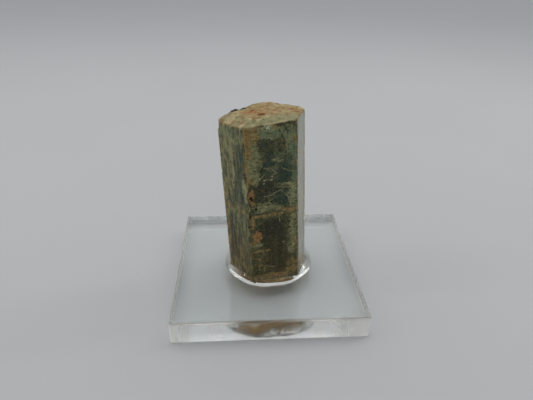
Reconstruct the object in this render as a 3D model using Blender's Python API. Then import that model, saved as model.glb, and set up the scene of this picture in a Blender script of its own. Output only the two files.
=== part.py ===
"""A beryl (aquamarine) crystal on a display base: an acrylic square, a collar of clear
adhesive on top of it, and a leaning hexagonal prism that stands in the collar.
Lengths are in millimetres until MM turns them into Blender's metres. +Z is up, the
origin is the centre of the square's underside, and -Y is the side meant to be seen."""

from math import atan2, cos, exp, hypot, pi, radians, sin, tau

import bmesh
import bpy
from mathutils import Matrix, Vector

MM = 0.001

# Driving dimensions
BASE_SIDE = 50.0  # a 2 inch square, near enough
BASE_THICKNESS = 6.4  # 1/4 inch cast sheet
BASE_EDGE_BEVEL = 0.35
GAP = 0.3  # clearance between solids that touch
FILM = 0.3  # adhesive under the crystal's foot

FOOT_CENTRE = (0.4, -1.2)  # where the prism's axis meets its foot
LEAN = (-0.0537, 0.0135)  # the axis's sideways travel for each unit of height
FIRST_NORMAL = radians(-141.3)  # outward direction of the left prism face
FACE_DISTANCES = (9.65, 9.15, 10.3, 8.3, 8.3, 9.15)  # left, front, right, then round the back
EDGE_WEAR = 0.35  # how far the upright edges are worn back
CRYSTAL_HEIGHT = 44.55  # foot to plateau, along the axis

# The etched rim of the top, one value for each of the six edges between faces, starting
# with the edge between the last face and the first: the bevel's width and its drop.
RIM_WIDTHS = (1.5, 4.8, 3.4, 0.7, 2.4, 2.6)
RIM_DROPS = (2.2, 1.7, 0.6, 0.15, 1.5, 3.1)
RIM_STEPS = (0.15, 0.5, 1.0)  # shares of the width at which the bevel has a ring
RIM_CURVE = 1.4  # 1 would be a straight bevel; more is hollower

COLLAR_RADIUS = 12.0
COLLAR_RISE = 3.0  # how high the adhesive climbs the faces, above the square
COLLAR_LIP = 0.35  # thickness of its rounded outer edge

POINTS_PER_FACE = 9
PRISM_LEVELS = 13
FOOT_RINGS = (1.0, 0.6, 0.25)

BASE_TOP = BASE_THICKNESS
COLLAR_FLOOR = BASE_TOP + GAP
POCKET_FLOOR = COLLAR_FLOOR + FILM
FOOT_HEIGHT = POCKET_FLOOR + GAP


def clear_scene():
    """Removes every object and the meshes that they leave behind."""
    for old in list(bpy.data.objects):
        bpy.data.objects.remove(old)
    for mesh in list(bpy.data.meshes):
        bpy.data.meshes.remove(mesh)


def finish(name, colour, roughness, alpha=1.0):
    """A plain material of one colour."""
    material = bpy.data.materials.new(name)
    material.use_nodes = True
    shader = material.node_tree.nodes["Principled BSDF"]
    shader.inputs["Base Color"].default_value = (*colour, 1.0)
    shader.inputs["Roughness"].default_value = roughness
    shader.inputs["Metallic"].default_value = 0.0
    shader.inputs["Alpha"].default_value = alpha
    return material


def place(name, mesh, material):
    """Puts a finished bmesh into the scene as one named object."""
    bmesh.ops.recalc_face_normals(mesh, faces=mesh.faces)
    data = bpy.data.meshes.new(name)
    mesh.to_mesh(data)
    mesh.free()
    data.materials.append(material)
    thing = bpy.data.objects.new(name, data)
    bpy.context.scene.collection.objects.link(thing)
    return thing


def corners(wear):
    """The worn hexagon's outline: each face line runs between two corners, and each
    corner is cut back to a point on its bisector by the wear."""
    found = []
    for face in range(6):
        before = FIRST_NORMAL + (face - 1) * pi / 3
        after = before + pi / 3
        d_before, d_after = FACE_DISTANCES[face - 1], FACE_DISTANCES[face]
        # Two lines n.p = d whose normals are 60 degrees apart cross at this point.
        x = (d_before * sin(after) - d_after * sin(before)) / sin(pi / 3)
        y = (d_after * cos(before) - d_before * cos(after)) / sin(pi / 3)
        back = 1 - wear / hypot(x, y)
        found.append(Vector((x * back, y * back)))
    return found


def outline(wear):
    """Points round the prism, POINTS_PER_FACE to a face: straight between the ends of
    the flat stretch, then over the worn corner."""
    sharp = corners(0.0)
    worn = corners(wear)
    points = []
    for face in range(6):
        start, end = sharp[face], sharp[(face + 1) % 6]
        along = (end - start).normalized()
        first = start + along * wear * 1.6
        last = end - along * wear * 1.6
        points.append(worn[face])
        for step in range(POINTS_PER_FACE - 1):
            points.append(first.lerp(last, step / (POINTS_PER_FACE - 2)))
    return points


def rim_value(values, angle):
    """Eases from one edge's value to the next as the angle goes round the top."""
    turn = (angle - (FIRST_NORMAL - pi / 6)) / (pi / 3) % 6
    edge = int(turn)
    share = turn - edge
    ease = share * share * (3 - 2 * share)
    return values[edge] * (1 - ease) + values[(edge + 1) % 6] * ease


def skin(mesh, rings, close_start, close_end):
    """Joins rings of points with quads and closes the two ends on a middle point."""
    loops = [[mesh.verts.new(Vector(p) * MM) for p in ring] for ring in rings]
    for lower, upper in zip(loops, loops[1:]):
        for i in range(len(lower)):
            j = (i + 1) % len(lower)
            mesh.faces.new((lower[i], lower[j], upper[j], upper[i]))
    for loop, middle in ((loops[0], close_start), (loops[-1], close_end)):
        hub = mesh.verts.new(Vector(middle) * MM)
        for i in range(len(loop)):
            mesh.faces.new((loop[i], loop[(i + 1) % len(loop)], hub))


def lean_matrix():
    """Turns the crystal's own upright frame to its lean and carries it to its foot."""
    axis = Vector((*LEAN, 1.0)).normalized()
    turn = Vector((0, 0, 1)).rotation_difference(axis).to_matrix().to_4x4()
    return Matrix.Translation(Vector((*FOOT_CENTRE, FOOT_HEIGHT)) * MM) @ turn


def foot_level(point):
    """Height in the crystal's frame at which its foot, level with the base, is cut."""
    return LEAN[0] * point.x + LEAN[1] * point.y


def make_crystal(material):
    """A six-sided prism with worn edges. Its top is a flat plateau inside a sloping,
    etched rim, and its foot is cut level with the base although the prism leans."""
    ring = outline(EDGE_WEAR)
    angles = [atan2(p.y, p.x) for p in ring]
    rings = []
    for share in FOOT_RINGS[:0:-1]:
        rings.append([(*(p * share), foot_level(p) * share) for p in ring])
    for level in range(PRISM_LEVELS):
        share = level / (PRISM_LEVELS - 1)
        prism = []
        for point, angle in zip(ring, angles):
            top = CRYSTAL_HEIGHT - rim_value(RIM_DROPS, angle)
            low = foot_level(point)
            prism.append((*point, low + (top - low) * share))
        rings.append(prism)
    for inward in RIM_STEPS:
        lower = (1 - inward) ** RIM_CURVE
        rim = []
        for point, angle in zip(ring, angles):
            closer = 1 - inward * rim_value(RIM_WIDTHS, angle) / point.length
            rim.append((*(point * closer), CRYSTAL_HEIGHT - rim_value(RIM_DROPS, angle) * lower))
        rings.append(rim)
    rings.append([(*(p * 0.35), CRYSTAL_HEIGHT) for p in ring])
    mesh = bmesh.new()
    skin(mesh, rings, (0, 0, 0), (0, 0, CRYSTAL_HEIGHT))
    crystal = place("aquamarine_crystal", mesh, material)
    crystal.matrix_world = lean_matrix()
    return crystal


def prism_section(height, spread):
    """The prism's outline at a height over the base's underside, moved out by spread,
    in the row frame."""
    up = height - FOOT_HEIGHT
    shift = Vector(FOOT_CENTRE) + Vector(LEAN) * up
    points = []
    for point in outline(EDGE_WEAR):
        grown = point * (1 + spread / point.length)
        points.append((*(grown + shift), height))
    return points


def collar_radius(angle):
    """Where the adhesive ends on the base: a circle that draws in at the front right
    and swells at the right."""
    dip = exp(-(((degrees_from(angle, -73)) / 22) ** 2))
    swell = exp(-(((degrees_from(angle, -3)) / 30) ** 2))
    return COLLAR_RADIUS - 0.7 * dip + 0.4 * swell


def degrees_from(angle, centre):
    """Signed difference of an angle in radians from a direction in degrees."""
    return ((angle - radians(centre) + pi) % tau - pi) * 180 / pi


def make_collar(material):
    """A cup of clear adhesive. Outside it is a meniscus, steep at the crystal and flat
    at its lip. Inside is a six-sided pocket that the crystal's foot stands in."""
    section = prism_section(POCKET_FLOOR, GAP * 1.25)
    centre = Vector(FOOT_CENTRE)
    outer = []
    for x, y, _ in section:
        spoke = Vector((x, y)) - centre
        edge = spoke.normalized() * collar_radius(atan2(spoke.y, spoke.x))
        outer.append(centre + edge)
    rings = [[(*(centre + (p - centre) * share), COLLAR_FLOOR) for p in outer] for share in (0.5, 0.97)]
    rings.append([(*p, COLLAR_FLOOR + COLLAR_LIP * 0.5) for p in outer])
    crest = COLLAR_RISE + BASE_TOP
    inner_top = prism_section(crest, GAP * 1.25)
    for share in (0.12, 0.4, 0.7, 0.93):
        ring = []
        for edge, (x, y, _) in zip(outer, inner_top):
            spot = edge.lerp(Vector((x, y)), share)
            rise = COLLAR_LIP + (crest - COLLAR_FLOOR - COLLAR_LIP) * share**2.2
            ring.append((*spot, COLLAR_FLOOR + rise))
        rings.append(ring)
    rings.append(inner_top)
    rings.append(section)
    mesh = bmesh.new()
    skin(mesh, rings, (*centre, COLLAR_FLOOR), (*centre, POCKET_FLOOR))
    return place("adhesive_collar", mesh, material)


def make_base(material):
    """The square of clear acrylic, standing on the ground, its edges lightly broken."""
    mesh = bmesh.new()
    bmesh.ops.create_cube(mesh, size=1.0)
    size = Matrix.Diagonal((BASE_SIDE * MM, BASE_SIDE * MM, BASE_THICKNESS * MM, 1))
    lift = Matrix.Translation((0, 0, BASE_THICKNESS * MM / 2))
    bmesh.ops.transform(mesh, matrix=lift @ size, verts=mesh.verts)
    base = place("acrylic_base", mesh, material)
    bevel = base.modifiers.new("broken_edges", "BEVEL")
    bevel.width = BASE_EDGE_BEVEL * MM
    bevel.segments = 2
    return base


def main():
    clear_scene()
    make_base(finish("clear_acrylic", (0.86, 0.9, 0.9), 0.05, 0.35))
    make_collar(finish("clear_adhesive", (0.9, 0.9, 0.86), 0.1, 0.45))
    make_crystal(finish("stained_beryl", (0.13, 0.15, 0.1), 0.4))


main()
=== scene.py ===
"""The looks of a stained aquamarine prism that stands, glued, on a square of clear acrylic.
Every length below is in millimetres, in the display's own frame, until a mesh is filled, where
MM turns it into metres. Colours are 0 to 255 display values, which paint() makes linear."""

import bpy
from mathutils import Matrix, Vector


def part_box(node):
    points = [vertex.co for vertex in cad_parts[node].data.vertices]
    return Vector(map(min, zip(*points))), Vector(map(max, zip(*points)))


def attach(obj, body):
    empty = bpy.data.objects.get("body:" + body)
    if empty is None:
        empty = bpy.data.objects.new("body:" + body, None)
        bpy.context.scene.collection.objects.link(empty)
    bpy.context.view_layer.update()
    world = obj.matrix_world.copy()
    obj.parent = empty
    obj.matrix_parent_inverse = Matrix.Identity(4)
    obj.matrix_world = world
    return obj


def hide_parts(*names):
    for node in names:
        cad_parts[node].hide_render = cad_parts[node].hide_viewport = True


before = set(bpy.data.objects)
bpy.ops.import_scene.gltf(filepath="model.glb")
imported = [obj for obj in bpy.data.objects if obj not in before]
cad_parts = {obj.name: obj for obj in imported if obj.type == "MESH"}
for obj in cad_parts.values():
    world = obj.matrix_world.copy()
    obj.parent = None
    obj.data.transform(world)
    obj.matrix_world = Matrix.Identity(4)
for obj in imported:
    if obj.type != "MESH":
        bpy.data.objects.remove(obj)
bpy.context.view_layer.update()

import bpy
import numpy as np
from mathutils import Matrix, Vector

MM = 0.001

# ---------------------------------------------------------------------------------------
# The base: a square cut from quarter-inch clear acrylic sheet. Its two broad faces are the
# sheet's own polish; its four edges were sawn and scraped, so they keep upright saw lines and
# go frosty in places, and the upper arris is broken more than the lower.
# ---------------------------------------------------------------------------------------
BASE_LOW, BASE_HIGH = (np.array(corner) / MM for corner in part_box("acrylic_base"))
BASE_HALF = (BASE_HIGH[0] - BASE_LOW[0]) / 2
BASE_TOP = BASE_HIGH[2]
UPPER_ARRIS, LOWER_ARRIS = 0.5, 0.14  # radii of the broken edges
BASE_CORNER = 0.45  # radius of the upright corners in plan
LEAST_CORNER = 0.05  # and on the flats, inside the arris
ARRIS_STEPS, CORNER_STEPS, SIDE_STEPS, WALL_ROWS = 5, 6, 48, 7
HOLD = 0.04  # how far past an arris a loop stands to keep the flats flat
# Each band below is where it starts and where it is full: the scraped one by depth under the
# top and by y, the matt ends by depth behind a side wall and by y.
SCRAPED_DEPTH, SCRAPED_FRONT, SCRAPED_FROST = (0.9, 0.4), (-24.3, -24.8), 0.75
MATT_DEPTH, MATT_START, MATT_FROST, MATT_DIRT = (1.2, 0.5), (-24.0, -22.5), 0.9, 0.072
# Frosty places on the sides, as (x, y, reach, strength).
FROST = [
    (-24.6, -25, 2.6, 1), (22, -25, 5, 0.75), (16.5, -25, 3, 0.5), (25, -24, 3, 0.6),
    (-25, -22, 4, 0.5), (-16, 25, 5, 0.6), (4, 25, 4, 0.5), (19, 25, 6, 0.7), (-6, -25, 3, 0.25),
]


def shell(name, rings, first_pole, last_pole, smooth=True):
    """A closed skin. rings[row, column] are points on loops that run counter-clockwise seen
    from above, from the lowest loop to the last; each pair of rows is joined by quads, and
    each end is closed by a fan to its pole, so that every face looks outwards."""
    rows, columns, _ = rings.shape
    points = np.vstack([rings.reshape(-1, 3), first_pole, last_pole])
    here = np.arange(rows * columns).reshape(rows, columns)
    beside = np.roll(here, -1, axis=1)
    quads = np.stack([here[:-1], beside[:-1], beside[1:], here[1:]], -1).reshape(-1, 4)
    first_hub = np.full(columns, rows * columns)
    first_fan = np.stack([beside[0], here[0], first_hub], -1)
    last_fan = np.stack([here[-1], beside[-1], first_hub + 1], -1)
    corners = np.concatenate([quads.ravel(), first_fan.ravel(), last_fan.ravel()])
    sizes = np.concatenate([np.full(len(quads), 4), np.full(2 * columns, 3)])
    return fill_mesh(name, points, corners, sizes, smooth)


def fill_mesh(name, points, corners, sizes, smooth=True):
    """Makes an object at the origin from points in millimetres, a flat list of face corners
    and the number of corners of each face."""
    mesh = bpy.data.meshes.new(name)
    mesh.vertices.add(len(points))
    mesh.vertices.foreach_set("co", (points * MM).astype(np.float32).ravel())
    mesh.loops.add(len(corners))
    mesh.loops.foreach_set("vertex_index", corners.astype(np.int32))
    mesh.polygons.add(len(sizes))
    starts = np.concatenate([[0], np.cumsum(sizes)[:-1]])
    mesh.polygons.foreach_set("loop_start", starts.astype(np.int32))
    mesh.polygons.foreach_set("use_smooth", np.full(len(sizes), smooth))
    mesh.update(calc_edges=True)
    mesh.validate()
    piece = bpy.data.objects.new(name, mesh)
    bpy.context.scene.collection.objects.link(piece)
    return piece


def store(piece, name, values, pole_values=(0.0, 0.0)):
    """Keeps a value for each grid point, and the two poles, as an attribute of the mesh."""
    layer = piece.data.attributes.new(name, "FLOAT", "POINT")
    layer.data.foreach_set("value", np.concatenate([values.ravel(), pole_values]).astype(np.float32))


def step(value, low, high):
    """Eases from 0 at low to 1 at high."""
    share = np.clip((value - low) / (high - low), 0, 1)
    return share * share * (3 - 2 * share)


def paint(red, green, blue):
    """A display colour of 0 to 255 as the linear colour that the shader takes."""
    share = np.array([red, green, blue]) / 255
    linear = np.where(share <= 0.04045, share / 12.92, ((share + 0.055) / 1.055) ** 2.4)
    return (*linear, 1.0)


class Finish:
    """A material and the few node moves that the finishes below are made of."""

    def __init__(self, name, **sockets):
        self.material = bpy.data.materials.new(name)
        self.material.use_nodes = True
        self.tree = self.material.node_tree
        self.shader = self.tree.nodes["Principled BSDF"]
        for socket, value in sockets.items():
            self.shader.inputs[socket.replace("_", " ")].default_value = value

    def feed(self, socket, source):
        """Joins a node's output to an input, or sets the input to a plain value."""
        if isinstance(source, bpy.types.NodeSocket):
            self.tree.links.new(source, socket)
        else:
            socket.default_value = source

    def set(self, socket, source):
        """Feeds one of the shader's own inputs."""
        self.feed(self.shader.inputs[socket], source)

    def node(self, kind, settings=(), **inputs):
        """Adds a node, sets its options, fills its inputs by name, and returns it."""
        added = self.tree.nodes.new("ShaderNode" + kind)
        for option, value in dict(settings).items():
            setattr(added, option, value)
        for name, source in inputs.items():
            self.feed(added.inputs[name.replace("_", " ")], source)
        return added

    def surface(self, name):
        """The value of a point attribute of the mesh."""
        return self.node("Attribute", {"attribute_name": name}).outputs["Fac"]

    def place(self, scale, turn=(0, 0, 0)):
        """Object coordinates in millimetres, turned, then multiplied by a scale on each axis."""
        raw = self.node("TexCoord").outputs["Object"]
        turned = self.node("Mapping", Vector=raw, Rotation=turn, Scale=(1 / MM,) * 3)
        return self.node("Mapping", Vector=turned.outputs[0], Scale=scale).outputs[0]

    def noise(self, where, detail=3.0, roughness=0.55, distortion=0.0):
        """Fractal noise of about 0.2 to 0.8."""
        options = {"Detail": detail, "Roughness": roughness, "Distortion": distortion}
        return self.node("TexNoise", Vector=where, Scale=1.0, **options).outputs["Fac"]

    def ease(self, value, low, high, to_low=0.0, to_high=1.0):
        """Maps low..high smoothly onto to_low..to_high, and holds it there outside."""
        options = {"interpolation_type": "SMOOTHSTEP"}
        ends = {"From_Min": low, "From_Max": high, "To_Min": to_low, "To_Max": to_high}
        return self.node("MapRange", options, Value=value, **ends).outputs["Result"]

    def maths(self, operation, first, second=0.0):
        """One operation on two numbers."""
        made = self.node("Math", {"operation": operation})
        self.feed(made.inputs[0], first)
        self.feed(made.inputs[1], second)
        return made.outputs[0]

    def times(self, first, second):
        """The product of two shares."""
        return self.maths("MULTIPLY", first, second)

    def ragged(self, name, noise, bite, strength=1.0):
        """An attribute's share with a torn edge: noise is added to it before it is eased."""
        bitten = self.times(self.maths("SUBTRACT", noise, 0.5), bite)
        return self.ease(self.maths("ADD", self.surface(name), bitten), 0.15, 0.85, 0.0, strength)

    def blend(self, share, under, over):
        """Lays one colour over another by a share of 0 to 1."""
        made = self.node("Mix", {"data_type": "RGBA"})
        self.feed(made.inputs[0], share)
        self.feed(made.inputs[6], under)
        self.feed(made.inputs[7], over)
        return made.outputs[2]

    def coats(self, colour, *layers):
        """Lays colours over one another in turn; each layer is its share and its colour."""
        for share, over in layers:
            colour = self.blend(share, colour, over)
        return colour

    def between(self, noise, low, high, first, last):
        """Runs from one display colour to another as a noise goes from low to high."""
        return self.blend(self.ease(noise, low, high), paint(*first), paint(*last))

    def relief(self, height, distance, strength=1.0, under=None):
        """A bump whose full height stands for a distance in millimetres."""
        made = self.node("Bump", Height=height, Distance=distance * MM, Strength=strength)
        if under is not None:
            self.feed(made.inputs["Normal"], under)
        return made.outputs["Normal"]

    def wear(self, piece):
        """Puts the finish on a piece as its only material."""
        piece.data.materials.clear()
        piece.data.materials.append(self.material)


def rounded_square(half, corner, steps):
    """A square loop with arcs of the corner radius: each arc is the corner's centre plus the
    radius along an angle that turns a quarter; each straight side is cut into even steps."""
    turns = np.arange(4)[:, None] * np.pi / 2 + np.linspace(0, np.pi / 2, steps)[None, :]
    signs = np.array([(1, 1), (-1, 1), (-1, -1), (1, -1)])[:, None, :]
    arcs = signs * (half - corner) + corner * np.stack([np.cos(turns), np.sin(turns)], -1)
    share = np.linspace(0, 1, SIDE_STEPS + 1)[None, 1:-1, None]
    sides = arcs[:, -1:] * (1 - share) + np.roll(arcs, -1, axis=0)[:, :1] * share
    return np.concatenate([arcs, sides], axis=1).reshape(-1, 2)


def base_rings():
    """Loops of the slab: a quarter circle of arris below, the upright side, and another above.
    An arris of radius r moves a loop in by r(1 - sin a) as it moves it up by r(1 - cos a). A
    loop stands just beyond each end of an arris, to keep the shading of the flats flat."""
    turn = np.linspace(0, np.pi / 2, ARRIS_STEPS)
    inset, rise = 1 - np.sin(turn), 1 - np.cos(turn)
    low_inset, low_rise = LOWER_ARRIS * inset, LOWER_ARRIS * rise
    high_inset, high_rise = UPPER_ARRIS * inset[::-1], BASE_TOP - UPPER_ARRIS * rise[::-1]
    side = np.linspace(low_rise[-1] + HOLD, high_rise[0] - HOLD, WALL_ROWS)
    flats = np.array([0.3, HOLD])
    insets = [LOWER_ARRIS + flats, low_inset, side * 0, high_inset, UPPER_ARRIS + flats[::-1]]
    insets = np.concatenate(insets)
    levels = np.concatenate([[0, 0], low_rise, side, high_rise, [BASE_TOP] * 2])
    flat = (insets > LOWER_ARRIS) & (levels == 0) | (insets > UPPER_ARRIS)
    radii = np.maximum(BASE_CORNER - insets, LEAST_CORNER)
    loops = [rounded_square(BASE_HALF - inset, radius, CORNER_STEPS) for inset, radius in zip(insets, radii)]
    rings = [np.column_stack([loop, np.full(len(loop), level)]) for loop, level in zip(loops, levels)]
    return np.array(rings), np.repeat(~flat[:, None], len(loops[0]), axis=1) * 1.0


base_skin, sawn = base_rings()
frost = np.zeros(sawn.shape)
for frost_x, frost_y, reach, strength in FROST:
    away = np.hypot(base_skin[..., 0] - frost_x, base_skin[..., 1] - frost_y)
    frost = np.maximum(frost, strength * step(away, reach, reach * 0.1))
scraped = step(BASE_TOP - base_skin[..., 2], *SCRAPED_DEPTH) * sawn
scraped = scraped * step(base_skin[..., 1], *SCRAPED_FRONT)
matt_ends = step(BASE_HALF - np.abs(base_skin[..., 0]), *MATT_DEPTH) * step(base_skin[..., 1], *MATT_START)
frost = np.maximum(frost, np.maximum(SCRAPED_FROST * scraped, MATT_FROST * matt_ends)) * sawn
base = shell("display_base", base_skin, (0, 0, 0), (0, 0, BASE_TOP))
store(base, "sawn", sawn)
store(base, "frost", frost)
store(base, "dirt", np.maximum(scraped, MATT_DIRT * matt_ends))
acrylic = Finish("cast_acrylic", IOR=1.49, Transmission_Weight=1.0)
saw_lines = acrylic.noise(acrylic.place((5.0, 5.0, 0.05)), detail=4.0)
scratches = acrylic.noise(acrylic.place((0.4, 0.4, 1.4)), detail=3.0, roughness=0.5)
blotches = acrylic.noise(acrylic.place((0.35, 0.35, 0.5)), detail=3.0)
worn = acrylic.times(acrylic.maths("ADD", scratches, blotches), 0.5)
frosted = acrylic.ease(acrylic.surface("frost"), 0.0, 1.0, 0.0, acrylic.ease(worn, 0.3, 0.6, 0.92, 1.0))
clear, frosty, dirty = (0.975, 1.0, 0.99, 1), (0.96, 0.95, 0.91, 1), (0.76, 0.73, 0.69, 1)
acrylic.set("Base Color", acrylic.coats(clear, (frosted, frosty), (acrylic.surface("dirt"), dirty)))
sawn_roughness = acrylic.times(acrylic.surface("sawn"), 0.18)
acrylic.set("Roughness", acrylic.ease(frosted, 0.0, 1.0, sawn_roughness, 0.4))
rippled = acrylic.relief(acrylic.noise(acrylic.place((0.05, 0.05, 0.05)), detail=1.0), 0.05)
acrylic.set("Normal", acrylic.relief(saw_lines, 0.001, acrylic.surface("sawn"), rippled))
acrylic.wear(base)
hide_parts("acrylic_base")
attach(base, "root")

# ---------------------------------------------------------------------------------------
# The crystal: one six-sided beryl prism, grown, not cut. Six finely grooved faces, clouded by
# veils and cracks, iron stain along the edges and in the cracks, and an etched, crusted top.
# Its foot is broken off level, and it stands a few degrees out of upright in the adhesive.
# ---------------------------------------------------------------------------------------
FOOT = np.array([0.4, -1.2, 7.3])  # where the prism's axis meets its foot
LEAN = np.array([-0.0537, 0.0135])  # sideways travel of the axis for each unit of height
FIRST_NORMAL = np.radians(-141.3)  # outward direction of the left face
FACE_DISTANCES = np.array([9.65, 9.15, 10.3, 8.3, 8.3, 9.15])  # left, front, right, then behind
FACE_NORMALS = FIRST_NORMAL + np.arange(6) * np.pi / 3
EDGE_SHARPNESS = 55  # the power of the outline's norm; more is sharper
PLATEAU = 44.55  # height of the top over the foot, along the axis
FRONT_DENSITY = 0.75  # how much closer the columns stand on the front half
COLUMNS = 320
FOOT_ROWS, SIDE_ROWS, CAP_ROWS = 8, 248, 40

# The top's worn rim, by direction in degrees: how far it lies below the plateau, how wide the
# slope between them is, and the power of that slope; a higher power makes a rounder shoulder.
TOP_RIM = np.array([
    (-168.7, 1.5, 3.6, 1.5), (-149, 1.75, 3.2, 1.4), (-130, 1.7, 3.6, 1.3), (-113.9, 1.4, 4.2, 1.25),
    (-105, 1.25, 3.2, 1.2), (-90, 1.1, 2.3, 1.2), (-70, 0.85, 2.4, 1.2), (-54, 0.6, 3, 1.2),
    (-45.5, 0.45, 2.8, 1.3), (-37, 0.5, 2.3, 1.3), (-30, 0.5, 1.3, 1.4), (-21, 0.6, 0.8, 1.4),
    (-10, 0.65, 0.8, 1.4), (-1.9, 0.75, 1.1, 1.5), (1.5, 0.5, 1.2, 1.4), (8, 0.38, 1.4, 1.3),
    (17.6, 0.46, 1.7, 1.2), (29.5, 0.6, 2.1, 1.2), (41, 0.8, 2.8, 1.2), (54, 0.98, 3.2, 1.2),
    (67, 1.2, 3.6, 1.2), (88, 1.08, 3.6, 1.2), (102.6, 1.1, 4.6, 1.2), (109, 1.55, 5, 1.2),
    (120, 2.2, 5.4, 1.2), (133.5, 2.5, 5.8, 1.2), (145.5, 2.4, 6, 1.2), (150.5, 2.1, 6, 1.2),
    (166, 1.8, 6, 1.1), (177, 1.7, 5.6, 1.15), (-176, 1.6, 4.6, 1.3),
])
# A piece is broken off the top's back left: a flat break that falls away behind a line, given
# as the y where the break starts for each x.
BREAK_X = [-11.0, -8.5, -6.9, -6.1, -4.74, -3.94, -3.35, -3.1, -2.85, -2.6]
BREAK_START = [-4.4, -2.6, -1.5, -0.7, -0.1, 0.35, 0.75, 1.2, 4.5, 14.0]
BREAK_SLOPE = 0.36
# The left edge is rubbed back near the top, by a share of its distance from the axis. It is
# rubbed from the outer to the inner of two angles off the edge, and from the first height up.
WORN_CORNER, CORNER_WEAR = np.radians(-168.7), 0.03
WEAR_ANGLES, WEAR_HEIGHTS = (0.24, 0.03), (40.4, 41.4)
# The top's loops close in by a power of their share, to a last one near the middle.
CAP_POWER, CAP_END = 1.25, 0.97
FOOT_START = 0.06  # size of the underside's innermost loop


def outline_reach(turn):
    """Radius of the worn hexagon in a direction: one over the p-norm of
    cos(direction - normal) / distance over the six faces."""
    pull = np.clip(np.cos(turn[..., None] - FACE_NORMALS), 0, None) / FACE_DISTANCES
    return (pull**EDGE_SHARPNESS).sum(-1) ** (-1 / EDGE_SHARPNESS)


def prism_outline(columns):
    """Points of the worn hexagon, at even steps of a travel that runs faster on the front."""
    turn = np.linspace(0, 2 * np.pi, 20001)
    loop = outline_reach(turn)[:, None] * np.column_stack([np.cos(turn), np.sin(turn)])
    density = 1 + FRONT_DENSITY * step(np.sin(turn[:-1]), 0.2, -0.1)
    travel = np.concatenate([[0], np.cumsum(density * np.hypot(*np.diff(loop, axis=0).T))])
    even = np.linspace(0, travel[-1], columns, endpoint=False)
    return np.column_stack([np.interp(even, travel, loop[:, axis]) for axis in (0, 1)])


def face_corners():
    """Where each face line meets the one before it: the two lines n.p = d, solved."""
    pairs = [[face - 1, face] for face in range(6)]
    lines = np.dstack([np.cos(FACE_NORMALS[pairs]), np.sin(FACE_NORMALS[pairs])])
    return np.linalg.solve(lines, FACE_DISTANCES[pairs][..., None])[..., 0]


CORNERS = face_corners()
FACE_WIDTHS = np.hypot(*(np.roll(CORNERS, -1, axis=0) - CORNERS).T)
# The girth coordinate: millimetres round the prism from its front left edge, rightwards.
FACE_STARTS = np.concatenate([[0], np.cumsum(FACE_WIDTHS)[:-1]]) - FACE_WIDTHS[0]
GIRTH = FACE_WIDTHS.sum()


def girth(points):
    """Girth coordinate of points: the distance along the nearest face's line from its first
    corner, plus the widths of the faces before it."""
    angle = np.arctan2(points[..., 1], points[..., 0])
    face = np.argmax(np.cos(angle[..., None] - FACE_NORMALS) / FACE_DISTANCES, axis=-1)
    along = FACE_NORMALS[face] + np.pi / 2
    offset = points[..., :2] - CORNERS[face]
    return FACE_STARTS[face] + offset[..., 0] * np.cos(along) + offset[..., 1] * np.sin(along)


def rim_value(points, column):
    """One column of the rim's table, run straight from one direction to the next."""
    turn = np.degrees(np.arctan2(points[..., 1], points[..., 0]))
    return np.interp(turn, TOP_RIM[:, 0], TOP_RIM[:, column], period=360)


def lattice(cell, seed):
    """A repeatable pseudo-random number of 0 to 1 for each whole-numbered cell."""
    mixed = cell[..., 0] * 374761393 + cell[..., 1] * 668265263 + cell[..., 2] * 2147483647
    mixed = (mixed + seed * 974634777) & 0xFFFFFFFF
    mixed = ((mixed ^ (mixed >> 13)) * 1274126177) & 0xFFFFFFFF
    mixed = ((mixed ^ (mixed >> 16)) * 2246822519) & 0xFFFFFFFF
    return ((mixed ^ (mixed >> 15)) & 0xFFFFFF) / 0xFFFFFF


def value_noise(points, seed):
    """Noise of -1 to 1: the eight corners of each point's cell, eased between."""
    cell = np.floor(points).astype(np.int64)
    share = points - cell
    share = share * share * (3 - 2 * share)
    total = 0
    for corner in np.ndindex(2, 2, 2):
        weight = np.prod(np.where(np.array(corner) == 1, share, 1 - share), axis=-1)
        total = total + weight * lattice(cell + np.array(corner), seed)
    return total * 2 - 1


def grain(points, size, seed, octaves=4):
    """Fractal noise whose largest lumps have a size in millimetres on each axis; each octave
    is half as large and half as strong."""
    scaled = points / np.broadcast_to(size, 3)
    total = sum(value_noise(scaled * 2**k + 19.7 * k, seed + k) * 0.5**k for k in range(octaves))
    return total / 1.4


def top_level(points, from_rim):
    """Height of the top: the plateau, less the rim's drop by a power of the share of its slope
    that is left, and no higher than the break's plane."""
    drop, width, power = (rim_value(points, column) for column in (1, 2, 3))
    worn = PLATEAU - drop * np.clip(1 - from_rim / width, 0, 1) ** power
    behind = points[..., 1] - np.interp(points[..., 0], BREAK_X, BREAK_START)
    return np.minimum(worn, PLATEAU - BREAK_SLOPE * behind)


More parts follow.
